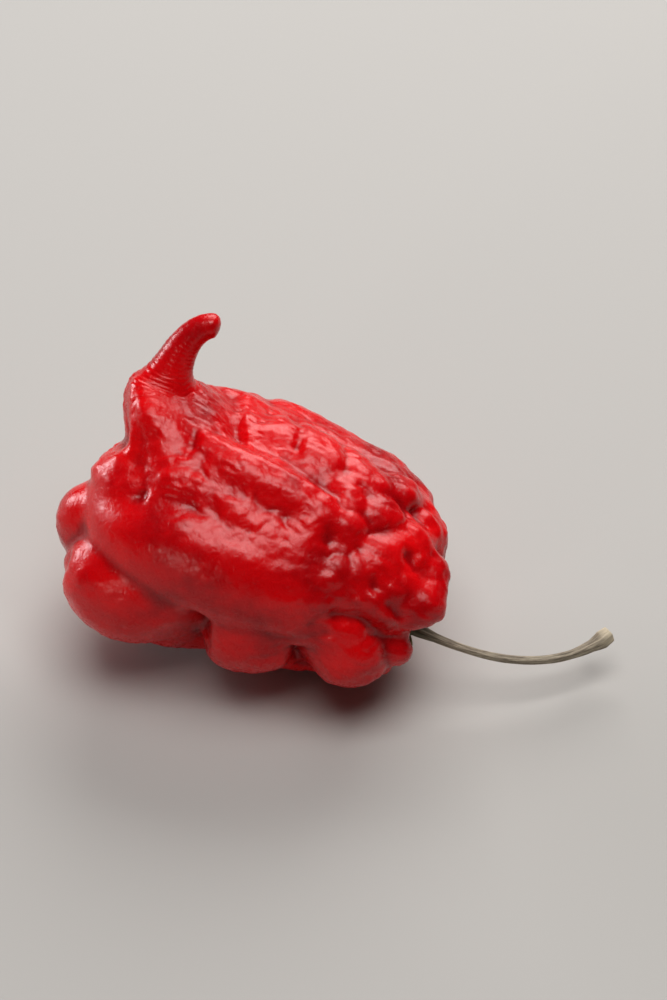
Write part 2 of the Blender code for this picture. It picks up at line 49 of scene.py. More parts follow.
# The pepper is shaped in millimetres, x along the pod and its middle at zero, then laid down.
# Angles round the pod are in degrees from its top: 90 is the near side (-Y), 180 the belly, 270 the far side.
pod = {
    "pitch": 13.0,              # the stem end is down by this angle
    "lift": 15.5,               # its middle over the ground
    "halfLength": 22.0,
    "radius": 15.7,
    "fullSide": -50.0,          # the angle where the barrel is fullest
    "slimmer": 0.16,            # share that the other side is slimmer by
    "slimmerToStem": 0.19,
    "endPower": 2.9,
    "endPowerAcross": 2.3,
    "pitDepth": 3.6,
    "pitAngle": 0.17,
    "domePower": 1.3,
    "creaseSoftness": 0.55,
    "boxSoftness": 0.08,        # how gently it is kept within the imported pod's box
    "rings": 232,
    "sides": 300,
    # lobes: x, angle, height, half length, half width, slant
    "nearAndTop": [
        (-3.0, 59, 2.6, 19.0, 6.8, -9),
        (-2.6, 10, 2.3, 10.5, 3.6, -1),
        (2.5, -24, 1.8, 9.5, 4.6, 3),
        (-10.0, 25, 1.4, 5.0, 3.8, -10),
        (-3.0, 22, 1.2, 5.0, 2.8, -6),
        (1.0, 31, 1.1, 4.6, 2.3, -6),
        (6.5, 30, 1.1, 2.8, 2.0, 0),
        (5.3, 15, 1.6, 3.5, 3.0, 0),
        (-9.0, -50, 1.4, 7.0, 5.6, 0),
        (-2.0, -66, 3.1, 12.0, 5.6, -6),
        (9.0, -62, 2.9, 8.0, 4.4, 8),
    ],
    "blossomEndAndLowNearSide": [
        (-17.6, 36, 1.1, 4.2, 3.8, 0),
        (-18.0, 54, 0.9, 4.6, 4.6, 20),
        (-14.2, 13, 1.9, 3.4, 3.8, 0),
        (-16.2, 3, 1.2, 2.0, 1.8, 0),
        (-14.6, 11, 2.9, 1.6, 1.5, 0),
        (-20.4, 102, 3.5, 5.0, 6.8, 0),
        (-12.2, 109, 5.6, 8.8, 8.4, 0),
        (3.8, 112, 2.5, 5.4, 6.8, 0),
        (15.6, 104, 3.6, 5.2, 6.6, 0),
    ],
    "shoulderKnobs": [
        (8.3, -5, 1.2, 2.4, 2.2, 0),
        (9.6, -21, 1.1, 2.3, 2.1, 0),
        (12.8, -9, 1.3, 2.8, 2.4, 0),
        (12.6, -34, 2.0, 3.6, 3.4, 0),
        (9.6, 12, 1.2, 2.7, 2.4, 0),
        (14.0, 16, 1.2, 2.6, 2.4, 0),
        (11.5, 28, 1.2, 3.0, 2.2, 0),
        (18.8, -33, 1.5, 2.8, 3.0, 0),
        (17.5, -56, 1.3, 4.4, 4.0, 0),
        (20.0, -6, 2.9, 2.7, 2.5, 0),
        (18.6, 14, 2.0, 5.5, 6.5, 0),
        (20.2, 14.5, 4.2, 3.8, 3.9, 0),
        (19.6, 29, 2.8, 2.6, 2.2, 0),
        (17.0, 40.5, 2.0, 4.6, 1.9, 14),
        (15.5, 70, 1.2, 3.6, 3.0, 0),
        (20.8, 78, 2.4, 3.2, 4.0, 0),
    ],
    "farSideAndBelly": [
        (-8.0, 150, 3.0, 9.0, 6.0, 5),
        (-2.0, 184, 2.6, 12.0, 6.4, 0),
        (-9.0, 214, 2.6, 9.0, 5.6, -8),
        (5.0, 234, 2.2, 11.0, 5.0, 6),
        (-6.0, 262, 2.5, 12.0, 5.4, -5),
        (8.0, 276, 2.0, 9.0, 4.4, 5),
        (11.0, 150, 1.4, 6.0, 5.0, 0),
        (13.0, 196, 1.7, 6.0, 4.8, 0),
        (17.5, 236, 1.6, 4.6, 4.4, 0),
        (18.5, 150, 1.5, 4.0, 4.6, 0),
        (-18.5, 172, 2.0, 5.6, 5.4, 0),
        (-19.0, 236, 2.0, 5.4, 5.2, 0),
        (-17.5, 290, 1.8, 5.4, 4.8, 0),
    ],
    # furrows: x and angle of both ends, depth, width
    "furrows": [
        (-21.4, -26, -18.6, 13, 2.4, 2.0),
        (-15.0, 21, -12.8, 40, 0.7, 1.3),
        (-13.1, -8, -10.8, 14, 0.6, 0.9),
        (-9.0, 1, 5.0, 0, 0.5, 0.9),
        (-8.0, 20, 3.6, 20, 0.3, 1.2),
        (-10.5, -36, -6.6, -6, 1.2, 1.3),
        (-2.2, -34, -0.2, -14, 0.5, 0.8),
        (3.4, -34, 6.0, -15, 0.5, 0.8),
        (13.2, 58, 18.4, 54, 1.0, 1.7),
        (17.4, 32, 20.6, 34, 0.5, 1.0),
        (-1.9, 94, -1.5, 140, 2.9, 1.6),
        (10.8, 94, 11.0, 140, 2.0, 1.5),
        (-16.5, 96, -15.5, 125, 0.8, 1.3),
        (-5.0, -22, -7.0, -60, 0.7, 1.1),
        (-14.0, 196, -4.0, 200, 1.2, 1.3),
        (4.0, 214, 12.0, 218, 1.2, 1.3),
        (-14.0, 240, 6.0, 248, 1.3, 1.3),
        (-15.0, 280, 9.0, 286, 1.2, 1.2),
    ],
    # furrows that run into the stem pit: start and end angle, and the x, depth and width that they share
    "pitFurrows": [
        (60, 52), (5, 3), (-27, -22), (122, 112),
        (172, 176), (222, 216), (262, 268), (306, 312),
    ],
    "pitFurrowX": (16.5, 21.5),
    "pitFurrowDepth": 1.0,
    "pitFurrowWidth": 1.0,
}

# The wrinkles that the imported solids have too, in millimetres
wrinkle = {
    "lobeWarp": 0.06,           # this and its size bend unit directions
    "lobeWarpSize": 0.48,
    "warp": 1.6,
    "warpSize": 7.0,
    "foldSize": np.array([11.0, 4.4, 4.4]),
    "foldHeight": 0.6,
    "crinkleSize": np.array([4.2, 2.6, 2.6]),
    "crinkleHeight": 0.3,
    "creaseRounding": 0.12,
    "pebbleSize": np.array([4.2, 3.6, 3.6]),
    "pebbleHeight": 0.25,
    "pebbleHeightAtStem": 0.8,
    "pebbleMean": 0.6,
    "pebbleScatter": 0.9,       # how far a seed strays in its cell, which is one across
    "pebbleCrease": 0.06,
    "pebblyFrom": (3.0, 15.0),
    "smoothSideStart": (40.0, 52.0),
    "smoothSideEnd": (76.0, 92.0),
    "smoothSideXEnd": (4.0, 13.0),
    "smoothSideShare": 0.8,
    "tautFrom": (0.7, 1.8),
    "tautShare": 0.8,
}

stinger = {
    "pole": (-0.73, 0.17, 0.66),        # direction from the pod's middle to its root
    "rootRadius": 3.8,
    "bulbPole": (-0.82, 0.06, 0.56),
    "bulbHeight": 4.4,
    "bulbSize": 4.5,
    "filletStart": 3.3,
    "filletHeight": 1.9,
    "filletSize": 1.9,
    "path": [(0.0, 0.0, 0.0), (-0.4, 0.9, 2.2), (-0.5, 3.7, 7.6), (3.2, 4.6, 8.0)],
    "radius": [(0.0, 3.0), (0.3, 2.25), (0.6, 1.8), (0.85, 1.55), (1.0, 1.45)],
    "roundOff": 0.12,
    "tipStart": 0.92,
    "tipEnd": 1.003,
    "ringCrowding": 1.5,
    "seamSmoothing": 0.03,
    "leastSpread": 0.05,        # rings
    "ownSkinRows": (-6, 16),    # rows of points after the root where its own skin begins and is full
    "rings": 98,
}

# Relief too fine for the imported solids: crinkles and flecks all over, rings round the stinger and its root,
# ringlets round the knob beside it, and streaks beside the stinger. Sizes are in millimetres
fineSkin = {
    "warp": 0.5,
    "warpSize": 2.6,
    "crinkleSize": np.array([2.6, 1.5, 1.5]),
    "crinkleHeight": 0.21,
    "fleckSize": np.array([2.0, 0.85, 0.85]),
    "fleckHeight": 0.09,
    "mean": 0.15,               # taken off the crinkles and flecks, so that they go in as well as out
    "tipRows": (9, 2),          # rows of points before the tip where the relief begins to fade and is gone
    "grainSize": 0.9,
    "grainHeight": 0.03,
    "ringSpacing": 0.62,
    "ringHeight": 0.045,
    "ringRows": (24, 6),        # rows of points before the root where the rings begin and are full
    "ringFadeRow": 20,          # rows of points after the root where the rings begin to fade
    "ringFade": 0.7,            # share of their height that they lose to the tip
    "ringBend": 0.35,
    "ringBendSize": 2.4,
    "ringPatch": 0.5,
    "ringPatchSize": 1.8,
    "knob": np.array([-17.0, -2.7, 16.3]),
    "ringletSpacing": 0.62,
    "ringletHeight": 0.038,
    "ringletReach": 2.8,        # how far from the knob's middle the ringlets are highest
    "ringletBreadth": 1.0,
    "ringletBend": 0.25,
    "ringletBendSize": 1.6,
    "ringletPatch": 0.6,
    "ringletPatchSize": 1.5,
    "streakSpacing": 0.75,
    "streakHeight": 0.022,
    "streakBend": 0.5,
    "streakBendSize": np.array([5.0, 1.6, 1.6]),
    "streakX": (-14.5, -12.0, -8.0, -2.0),      # where the streaks begin, are full, begin to fade and end
    "streakAngle": (-14, -9, 6, 14),
    "creaseReach": 1.1,         # how far away a point's neighbours are read to find the creases
}


# Steady random number from 0 to 1 for each whole-number cell: its three indices are multiplied by large
# primes, joined by exclusive or, and mixed by two rounds of shift and multiply
def cellNoise(cell, salt):
    c = cell.astype(np.int64).astype(np.uint32)
    n = c[..., 0] * np.uint32(73856093) ^ c[..., 1] * np.uint32(19349663) ^ c[..., 2] * np.uint32(83492791)
    n ^= np.uint32(salt * 40503)
    n = (n ^ (n >> np.uint32(15))) * np.uint32(2246822519)
    n = (n ^ (n >> np.uint32(13))) * np.uint32(3266489917)
    return ((n ^ (n >> np.uint32(16))) & np.uint32(65535)) / 65535.0


# Gradient noise from about -1 to 1: each corner of a point's cell has a random slope, and the eight
# slopes times the point's distance from their corner are blended by the fifth-power fade
def waves(points, salt):
    cell = np.floor(points)
    inside = points - cell
    fade = inside**3 * (inside * (inside * 6 - 15) + 10)
    total = np.zeros(points.shape[:-1])
    for corner in np.ndindex(2, 2, 2):
        slope = np.stack([cellNoise(cell + corner, salt + k) for k in range(3)], axis=-1) * 2 - 1
        weight = np.where(np.array(corner) == 1, fade, 1 - fade).prod(axis=-1)
        total += weight * (slope * (inside - corner)).sum(axis=-1)
    return total * waveGain


# Three waves as an offset that bends a pattern
def wander(points, salt):
    return np.stack([waves(points, salt + k) for k in range(3)], axis=-1)


# The largest of several values, with the step between nearly equal ones rounded:
# softness times the logarithm of the sum of the exponentials of value over softness
def smoothMax(values, softness):
    peak = values.max(axis=0)
    return peak + softness * np.log(np.exp((values - peak) / softness).sum(axis=0))


# Rounded cells one unit across: one minus the squared distance to the nearest random seed of the 27 cells
# round a point, so 1 on a crown and near 0 in the creases
def pebbles(points, salt):
    cell = np.floor(points)
    nearness = []
    for step in np.ndindex(3, 3, 3):
        corner = cell + step - 1
        seed = np.stack([cellNoise(corner, salt + k) for k in range(3)], axis=-1)
        nearness.append(-((corner + seed * wrinkle["pebbleScatter"] - points) ** 2).sum(axis=-1))
    return 1 + smoothMax(np.array(nearness), wrinkle["pebbleCrease"])


# 0 below low, 1 above high, and between them three times the square less twice the cube
def eased(value, low, high):
    t = np.clip((value - low) / (high - low), 0, 1)
    return t * t * (3 - 2 * t)


# Rises from 0 to 1 between the first two limits, and falls back between the last two
def plateau(value, limits):
    return eased(value, limits[0], limits[1]) * (1 - eased(value, limits[2], limits[3]))


def unit(vector):
    return np.array(vector) / np.linalg.norm(vector)


def turns(sides):
    return np.linspace(0, 2 * math.pi, sides, endpoint=False)


# Angle round the pod in radians from its top, towards the near side
def roundAngle(points):
    return np.arctan2(-points[..., 1], points[..., 2])


# Radius and squareness of the barrel. The share across, from 0 on the full side to 1 opposite it, is half of
# one minus the cosine, and it takes the slimmer shares off the radius and off the power
def barrel(cosine, angle):
    across = (1 - np.cos(angle - math.radians(pod["fullSide"]))) / 2
    radius = pod["radius"] * (1 - across * (pod["slimmer"] + pod["slimmerToStem"] * cosine))
    return radius, pod["endPower"] + (pod["endPowerAcross"] - pod["endPower"]) * across


# Superellipsoid: where the x part over the half length and the rest over the radius, each to the power,
# add up to one
def barrelReach(directions):
    radius, power = barrel(directions[..., 0], roundAngle(directions))
    along = np.abs(directions[..., 0]) / pod["halfLength"]
    out = np.hypot(directions[..., 1], directions[..., 2]) / radius
    return (along**power + out**power) ** (-1 / power)


# A point of the barrel by x and angle, with its normal and the directions round and along the pod there
def onBarrel(x, angle):
    turn = math.radians(angle)
    outward = np.array([0.0, -math.sin(turn), math.cos(turn)])
    sideways = np.array([0.0, -math.cos(turn), -math.sin(turn)])
    radius, power = barrel(x / pod["halfLength"], turn)
    end = abs(x / pod["halfLength"])
    out = (1 - end**power) ** (1 / power)
    slope = math.copysign(end ** (power - 1) / pod["halfLength"], x)
    normal = unit(xAxis * slope + outward * out ** (power - 1) / radius)
    along = xAxis * (normal @ outward) - outward * normal[0]
    return xAxis * x + outward * radius * out, normal, sideways, along


# Dome: height times one minus the squared distance in half lengths and half widths to the dome power
def dome(skin, lobe):
    x, angle, height, halfLength, halfWidth, slant = lobe
    centre, normal, sideways, along = onBarrel(x, angle)
    lean = math.radians(slant)
    lengthAxis = along * math.cos(lean) + sideways * math.sin(lean)
    widthAxis = sideways * math.cos(lean) - along * math.sin(lean)
    away = skin - centre
    square = (away @ lengthAxis / halfLength) ** 2 + (away @ widthAxis / halfWidth) ** 2
    square += (away @ normal / (halfLength + halfWidth)) ** 2
    return height * (1 - square ** pod["domePower"])


# Furrow: depth times the bell curve of the distance to the line between its ends, over its width
def furrow(skin, line):
    x1, angle1, x2, angle2, depth, width = line
    start = onBarrel(x1, angle1)[0]
    run = onBarrel(x2, angle2)[0] - start
    share = np.clip((skin - start) @ run / (run @ run), 0, 1)
    off = np.linalg.norm(skin - start - share[..., None] * run, axis=-1)
    return depth * np.exp(-((off / width) ** 2))


def allFurrows():
    start, end = pod["pitFurrowX"]
    size = (pod["pitFurrowDepth"], pod["pitFurrowWidth"])
    return pod["furrows"] + [(start, a, end, b, *size) for a, b in pod["pitFurrows"]]


# Distance over the skin from where a direction meets it: the angle between them times the reach
def distanceFrom(pole, skin):
    reach = np.linalg.norm(skin, axis=-1)
    return np.arccos(np.clip((skin @ unit(pole)) / reach, -1, 1)) * reach


# Bulb as a bell curve of the distance from its pole, and a fillet that falls off exponentially from the root
def stingerRoot(skin):
    offBulb = distanceFrom(stinger["bulbPole"], skin) / stinger["bulbSize"]
    bulb = stinger["bulbHeight"] * np.exp(-(offBulb**2))
    offRoot = np.maximum(distanceFrom(stinger["pole"], skin) - stinger["filletStart"], 0)
    return bulb + stinger["filletHeight"] * np.exp(-offRoot / stinger["filletSize"])


# The size of a wave without its sign, rounded where it passes zero: the root of its square plus the square
# of softness, less softness
def softSize(wave, softness):
    return np.sqrt(wave**2 + softness**2) - softness


# 1 on the long near lobe, whose skin is smooth, and 0 off it
def smoothSide(skin):
    angle = np.degrees(roundAngle(skin))
    across = eased(angle, *wrinkle["smoothSideStart"]) * (1 - eased(angle, *wrinkle["smoothSideEnd"]))
    return across * (1 - eased(skin[..., 0], *wrinkle["smoothSideXEnd"]))


# Folds and crinkles are the soft size of bent waves, so they meet in rounded creases. They are lower on
# crowns, where the skin is taut, by how high the lobes stand there. Pebbles are added, higher towards the
# stem, and the long near lobe takes only part of the sum
def wrinkles(skin, lobeHeight):
    bent = skin + wrinkle["warp"] * wander(skin / wrinkle["warpSize"], 21)
    folds = softSize(waves(bent / wrinkle["foldSize"], 31), wrinkle["creaseRounding"])
    crinkles = softSize(waves(bent / wrinkle["crinkleSize"], 41), wrinkle["creaseRounding"])
    knobs = pebbles(bent / wrinkle["pebbleSize"], 51) - wrinkle["pebbleMean"]
    low, high = wrinkle["pebbleHeight"], wrinkle["pebbleHeightAtStem"]
    knobHeight = low + (high - low) * eased(skin[..., 0], *wrinkle["pebblyFrom"])
    loose = 1 - wrinkle["tautShare"] * eased(lobeHeight, *wrinkle["tautFrom"])
    height = (wrinkle["foldHeight"] * folds + wrinkle["crinkleHeight"] * crinkles) * loose
    height = height + knobHeight * knobs
    return height * (1 - wrinkle["smoothSideShare"] * smoothSide(skin))


# Reach from the pod's middle: barrel, plus the rounded maximum of the domes, less the deepest furrow, plus
# the stinger's root, less a bell-shaped pit, plus the wrinkles outside the pit
def podReach(directions):
    bent = directions + wrinkle["lobeWarp"] * wander(directions / wrinkle["lobeWarpSize"], 11)
    bent /= np.linalg.norm(bent, axis=-1, keepdims=True)
    bare = bent * barrelReach(bent)[..., None]
    lobes = pod["nearAndTop"] + pod["blossomEndAndLowNearSide"]
    lobes = lobes + pod["shoulderKnobs"] + pod["farSideAndBelly"]
    heights = np.stack([np.zeros(bare.shape[:-1])] + [dome(bare, lobe) for lobe in lobes])
    depths = np.stack([furrow(bare, line) for line in allFurrows()])
    lobeHeight = smoothMax(heights, pod["creaseSoftness"])
    reach = barrelReach(directions) + lobeHeight - depths.max(axis=0)
    reach = reach + stingerRoot(directions * barrelReach(directions)[..., None])
    offStem = np.arccos(np.clip(directions[..., 0], -1, 1)) / pod["pitAngle"]
    reach = reach - pod["pitDepth"] * np.exp(-(offStem**2))
    return reach + wrinkles(directions * reach[..., None], lobeHeight) * (1 - np.exp(-(offStem**4)))


# Rings that leave the stem pole and close round the stinger's: the stereographic plane of rings round the
# x axis, radius the cotangent of half the angle, is slid until its middle is the stinger's pole
def ringDirections(polar, around):
    pole = unit(stinger["pole"])
    slide = complex(pole[1], pole[2]) / (1 - pole[0])
    w = (1 / np.tan(polar / 2))[:, None] * np.exp(1j * around)[None, :] + slide
    size = np.abs(w) ** 2
    return np.stack([size - 1, 2 * w.real, 2 * w.imag], axis=-1) / (size + 1)[..., None]


# Places and unit headings on a cubic Bezier curve
def bezier(points, t):
    p = [np.array(point) for point in points]
    t = t[:, None]
    place = (1 - t) ** 3 * p[0] + 3 * t * (1 - t) ** 2 * p[1] + 3 * t**2 * (1 - t) * p[2] + t**3 * p[3]
    heading = (1 - t) ** 2 * (p[1] - p[0]) + 2 * t * (1 - t) * (p[2] - p[1]) + t**2 * (p[3] - p[2])
    return place, heading / np.linalg.norm(heading, axis=1, keepdims=True)


# Each ring of vectors turned by the shortest rotation from start to that ring's end direction:
# v times the cosine, plus axis cross v, plus the part along the axis over one plus the cosine
def turnedTo(vectors, start, ends):
    axis = np.cross(start, ends)[:, None, :]
    cosine = (ends @ start)[:, None, None]
    alongAxis = (vectors * axis).sum(axis=-1, keepdims=True) * axis
    return vectors * cosine + np.cross(axis, vectors) + alongAxis / (1 + cosine)


# The root ring carried along the path. Its own shape fades into a circle exponentially, its radius follows
# the table, and the tip closes as a half ellipse
def tailPoints(root):
    middle = root.mean(axis=0)
    spokes = root - middle
    facing = unit(np.cross(spokes, np.roll(spokes, -1, axis=0)).sum(axis=0))
    facing = facing * np.sign(facing @ middle)
    rise = spokes @ facing
    flat = spokes - np.outer(rise, facing)
    size = np.linalg.norm(flat, axis=1, keepdims=True)
    travel = np.linspace(0, 1, stinger["rings"] + 1)[1:] ** stinger["ringCrowding"]
    places, headings = bezier(stinger["path"], travel)
    radius = np.interp(travel, *zip(*stinger["radius"]))[:, None, None]
    keep = np.exp(-travel / stinger["roundOff"])[:, None, None]
    ring = flat / size * (radius + (size - stinger["radius"][0][1]) * keep) + keep * np.outer(rise, facing)
    past = np.clip((travel - stinger["tipStart"]) / (stinger["tipEnd"] - stinger["tipStart"]), 0, 1)
    ring = ring * np.sqrt(1 - past**2)[:, None, None]
    return middle + places[:, None, :] + turnedTo(ring, facing, headings)


# Each ring near the stinger's root becomes a bell-weighted mean of the rings beside it
def smoothSeam(grid, seam):
    ring = np.arange(len(grid))
    reach = stinger["seamSmoothing"] * len(grid)
    spread = reach * np.exp(-(((ring - seam) / (2 * reach)) ** 2)) + stinger["leastSpread"]
    share = np.exp(-(((ring[:, None] - ring[None, :]) / spread[:, None]) ** 2))
    return np.einsum("ij,jkl->ikl", share / share.sum(axis=1, keepdims=True), grid)


# Unit normals of a grid of rings: the cross product of its steps along and round
def gridNormals(grid):
    along = np.gradient(grid, axis=0)
    around = np.roll(grid, -1, axis=1) - np.roll(grid, 1, axis=1)
    normal = np.cross(along, around)
    normal /= np.maximum(np.linalg.norm(normal, axis=-1, keepdims=True), 1e-9)
    outside = (normal * (grid - grid.mean(axis=1, keepdims=True))).sum()
    return normal * np.sign(outside)


# How deep a point lies in a crease, in millimetres: the mean of four points of the grid about the crease
# reach away, less the point itself, along its normal
def creaseDepth(grid, normals):
    stepAlong = np.linalg.norm(np.gradient(grid, axis=0), axis=-1).mean()
    stepAround = np.linalg.norm(np.roll(grid, -1, axis=1) - grid, axis=-1).mean()
    a = max(1, round(fineSkin["creaseReach"] / stepAlong))
    b = max(1, round(fineSkin["creaseReach"] / stepAround))
    row = np.arange(len(grid))
    before = grid[np.maximum(row - a, 0)]
    after = grid[np.minimum(row + a, len(grid) - 1)]
    mean = (before + after + np.roll(grid, b, axis=1) + np.roll(grid, -b, axis=1)) / 4
    return ((mean - grid) * normals).sum(axis=-1)


# Millimetres in the pod's axes to metres where it lies: turned down by the pitch and lifted
def laidDown(points):
    pitch = math.radians(pod["pitch"])
    x, y, z = points[..., 0], points[..., 1], points[..., 2]
    up = pod["lift"] + z * math.cos(pitch) - x * math.sin(pitch)
    return np.stack([x * math.cos(pitch) + z * math.sin(pitch), y, up], axis=-1) * mm


# Keeps a piece within its node's box: the distance to each side becomes softness times the logarithm of one
# plus the exponential of distance over softness, which never falls below zero. It also makes the flat spot
def tuckedIn(points, node, softness):
    softness = softness * mm
    low, high = [np.array(corner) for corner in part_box(node)]
    points = low + softness * np.logaddexp(0, (points - low) / softness)
    return high - softness * np.logaddexp(0, (high - points) / softness)


# A closed mesh over rings of points, with a point at each end. The faces point outwards, which the sign of
# the volume, the sum of the corner products, tells
def skinOver(name, grid, first, last):
    count, sides = grid.shape[:2]
    points = np.concatenate([grid.reshape(-1, 3), [first, last]])
    side = np.arange(sides)
    after = (side + 1) % sides
    low = (np.arange(count - 1) * sides)[:, None]
    quads = np.stack([low + side, low + after, low + sides + after, low + sides + side], axis=-1)
    quads = quads.reshape(-1, 4)
    rim = (count - 1) * sides
    caps = np.concatenate([
        np.stack([0 * side + count * sides, after, side], axis=-1),
        np.stack([0 * side + count * sides + 1, rim + side, rim + after], axis=-1),
    ])
    corners = points[quads]
    volume = np.einsum("ij,ij->i", corners[:, 0], np.cross(corners[:, 1], corners[:, 2])).sum()
    if volume < 0:
        quads, caps = quads[:, ::-1], caps[:, ::-1]
    mesh = bpy.data.meshes.new(name)
    mesh.from_pydata(points.tolist(), [], quads.tolist() + caps.tolist())
    mesh.shade_smooth()
    piece = bpy.data.objects.new(name, mesh)
    bpy.context.scene.collection.objects.link(piece)
    return piece


# A value for each point of a piece, kept on its mesh for the material
def keepOnPoints(piece, name, values):
    kind = "FLOAT_VECTOR" if values.ndim == 2 else "FLOAT"
    layer = piece.data.attributes.new(name, kind, "POINT")
    layer.data.foreach_set("vector" if values.ndim == 2 else "value", values.astype(np.float32).ravel())


def joinTo(piece, node, material):
    piece.data.materials.append(material)
    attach(piece, "root")
    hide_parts(node)


# sRGB hex to linear: values over 0.04045 are raised to 2.4 after the offset, lower ones divided by 12.92
def hexColour(text):
    values = [int(text[i:i + 2], 16) / 255 for i in (1, 3, 5)]
    return tuple(v / 12.92 if v <= 0.04045 else ((v + 0.055) / 1.055) ** 2.4 for v in values) + (1.0,)


# One node with its settings, its inputs set or linked by name or index, and a ramp's three or more stops
def addNode(tree, kind, settings=None, inputs=None, stops=()):
    node = tree.nodes.new(kind)
    for key, value in (settings or {}).items():
        setattr(node, key, value)
    for key, value in (inputs or {}).items():
        if isinstance(value, bpy.types.NodeSocket):
            tree.links.new(value, node.inputs[key])
        else:
            node.inputs[key].default_value = value
    for _ in stops[2:]:
        node.color_ramp.elements.new(0.5)
    for k, (place, colour) in enumerate(stops):
        node.color_ramp.elements[k].position = place
        node.color_ramp.elements[k].color = hexColour(colour)
    return node


# A value mapped from one range to another in a straight line
def mapped(tree, value, source, target=(0.0, 1.0)):
    return addNode(tree, "ShaderNodeMapRange", {}, {
        "Value": value, "From Min": source[0], "From Max": source[1],
        "To Min": target[0], "To Max": target[1]}).outputs["Result"]


def startMaterial(name, settings):
    material = bpy.data.materials.new(name)
    material.use_nodes = True
    tree = material.node_tree
    shader = tree.nodes["Principled BSDF"]
    for key, value in settings.items():
        shader.inputs[key].default_value = value
    return material, tree, shader


# Ripe chili skin: pigmented flesh under a thin clear wax, so colour comes from below and a soft gloss lies on
# top. Fine crinkles break the gloss into flecks, and creases are painted deeper red: partly the skin's own
# deeper colour there, partly painted shade
skinLook = {
    "ripe": "#D00310",
    "bright": "#E20A12",
    # painted shade: creases take this deeper red by their depth, partly the skin's own colour there
    "deep": "#A6020E",
    "crease": "#94020D",
    "blotchSize": 9.0,          # mm
    "crinkleSize": 0.9,         # mm, the fine wrinkles of the wax
    "poreSize": 0.30,           # mm
    "crinkleBump": 0.07,        # mm
    "poreBump": 0.014,          # mm
    "creaseDepth": (0.02, 0.30),    # mm, where the deeper red begins and is full
    "creaseShadeShare": 0.8,
    "roughness": (0.22, 0.34),
    "roughnessFrom": (0.3, 0.7),    # of the crinkle noise
}


def chiliSkin():
    material, tree, shader = startMaterial("ripe chili skin, waxy", {
        "IOR": 1.45,
        "Subsurface Weight": 0.12,
        "Subsurface Radius": (1.0, 0.12, 0.08),
        "Subsurface Scale": 1.5 * mm,
        "Coat Weight": 0.15,
        "Coat Roughness": 0.16,
        "Coat IOR": 1.45,
    })
    place = addNode(tree, "ShaderNodeTexCoord").outputs["Object"]
    blotch = addNode(tree, "ShaderNodeTexNoise", {}, {
        "Vector": place, "Scale": 1 / (skinLook["blotchSize"] * mm), "Detail": 3.0, "Roughness": 0.55})
    colours = addNode(tree, "ShaderNodeValToRGB", {}, {"Fac": blotch.outputs["Fac"]}, [
        (0.30, skinLook["deep"]), (0.48, skinLook["ripe"]), (0.72, skinLook["bright"])])
    # The crease depth mixes in the crease colour as painted shade, partly the skin's own deeper red there
    depth = addNode(tree, "ShaderNodeAttribute", {"attribute_name": "crease"}).outputs["Fac"]
    creaseShade = mapped(tree, depth, skinLook["creaseDepth"], (0.0, skinLook["creaseShadeShare"]))
    creased = addNode(tree, "ShaderNodeMix", {"data_type": "RGBA"}, {
        "Factor": creaseShade, 6: colours.outputs["Color"], 7: hexColour(skinLook["crease"])})
    tree.links.new(creased.outputs[2], shader.inputs["Base Color"])
    crinkle = addNode(tree, "ShaderNodeTexNoise", {}, {
        "Vector": place, "Scale": 1 / (skinLook["crinkleSize"] * mm), "Detail": 4.0, "Roughness": 0.6,
        "Distortion": 0.8})
    gloss = mapped(tree, crinkle.outputs["Fac"], skinLook["roughnessFrom"], skinLook["roughness"])
    tree.links.new(gloss, shader.inputs["Roughness"])
    pores = addNode(tree, "ShaderNodeTexNoise", {}, {
        "Vector": place, "Scale": 1 / (skinLook["poreSize"] * mm), "Detail": 2.0, "Roughness": 0.5})
    poreBump = addNode(tree, "ShaderNodeBump", {}, {
        "Height": pores.outputs["Fac"], "Distance": skinLook["poreBump"] * mm, "Strength": 1.0})
    bump = addNode(tree, "ShaderNodeBump", {}, {
        "Height": crinkle.outputs["Fac"], "Distance": skinLook["crinkleBump"] * mm, "Strength": 1.0,
        "Normal": poreBump.outputs["Normal"]})
    tree.links.new(bump.outputs["Normal"], shader.inputs["Normal"])
    tree.links.new(bump.outputs["Normal"], shader.inputs["Coat Normal"])
    return material


# 0 on the body to 1 on the stinger, by the row of points
def onStinger(grid):
    begin, full = stinger["ownSkinRows"]
    return eased(np.arange(len(grid)), pod["rings"] + begin, pod["rings"] + full)[:, None]


# A height that noise varies in patches: the share plus the share times a wave
def patchy(points, salt, share):
    return share + share * waves(points, salt)


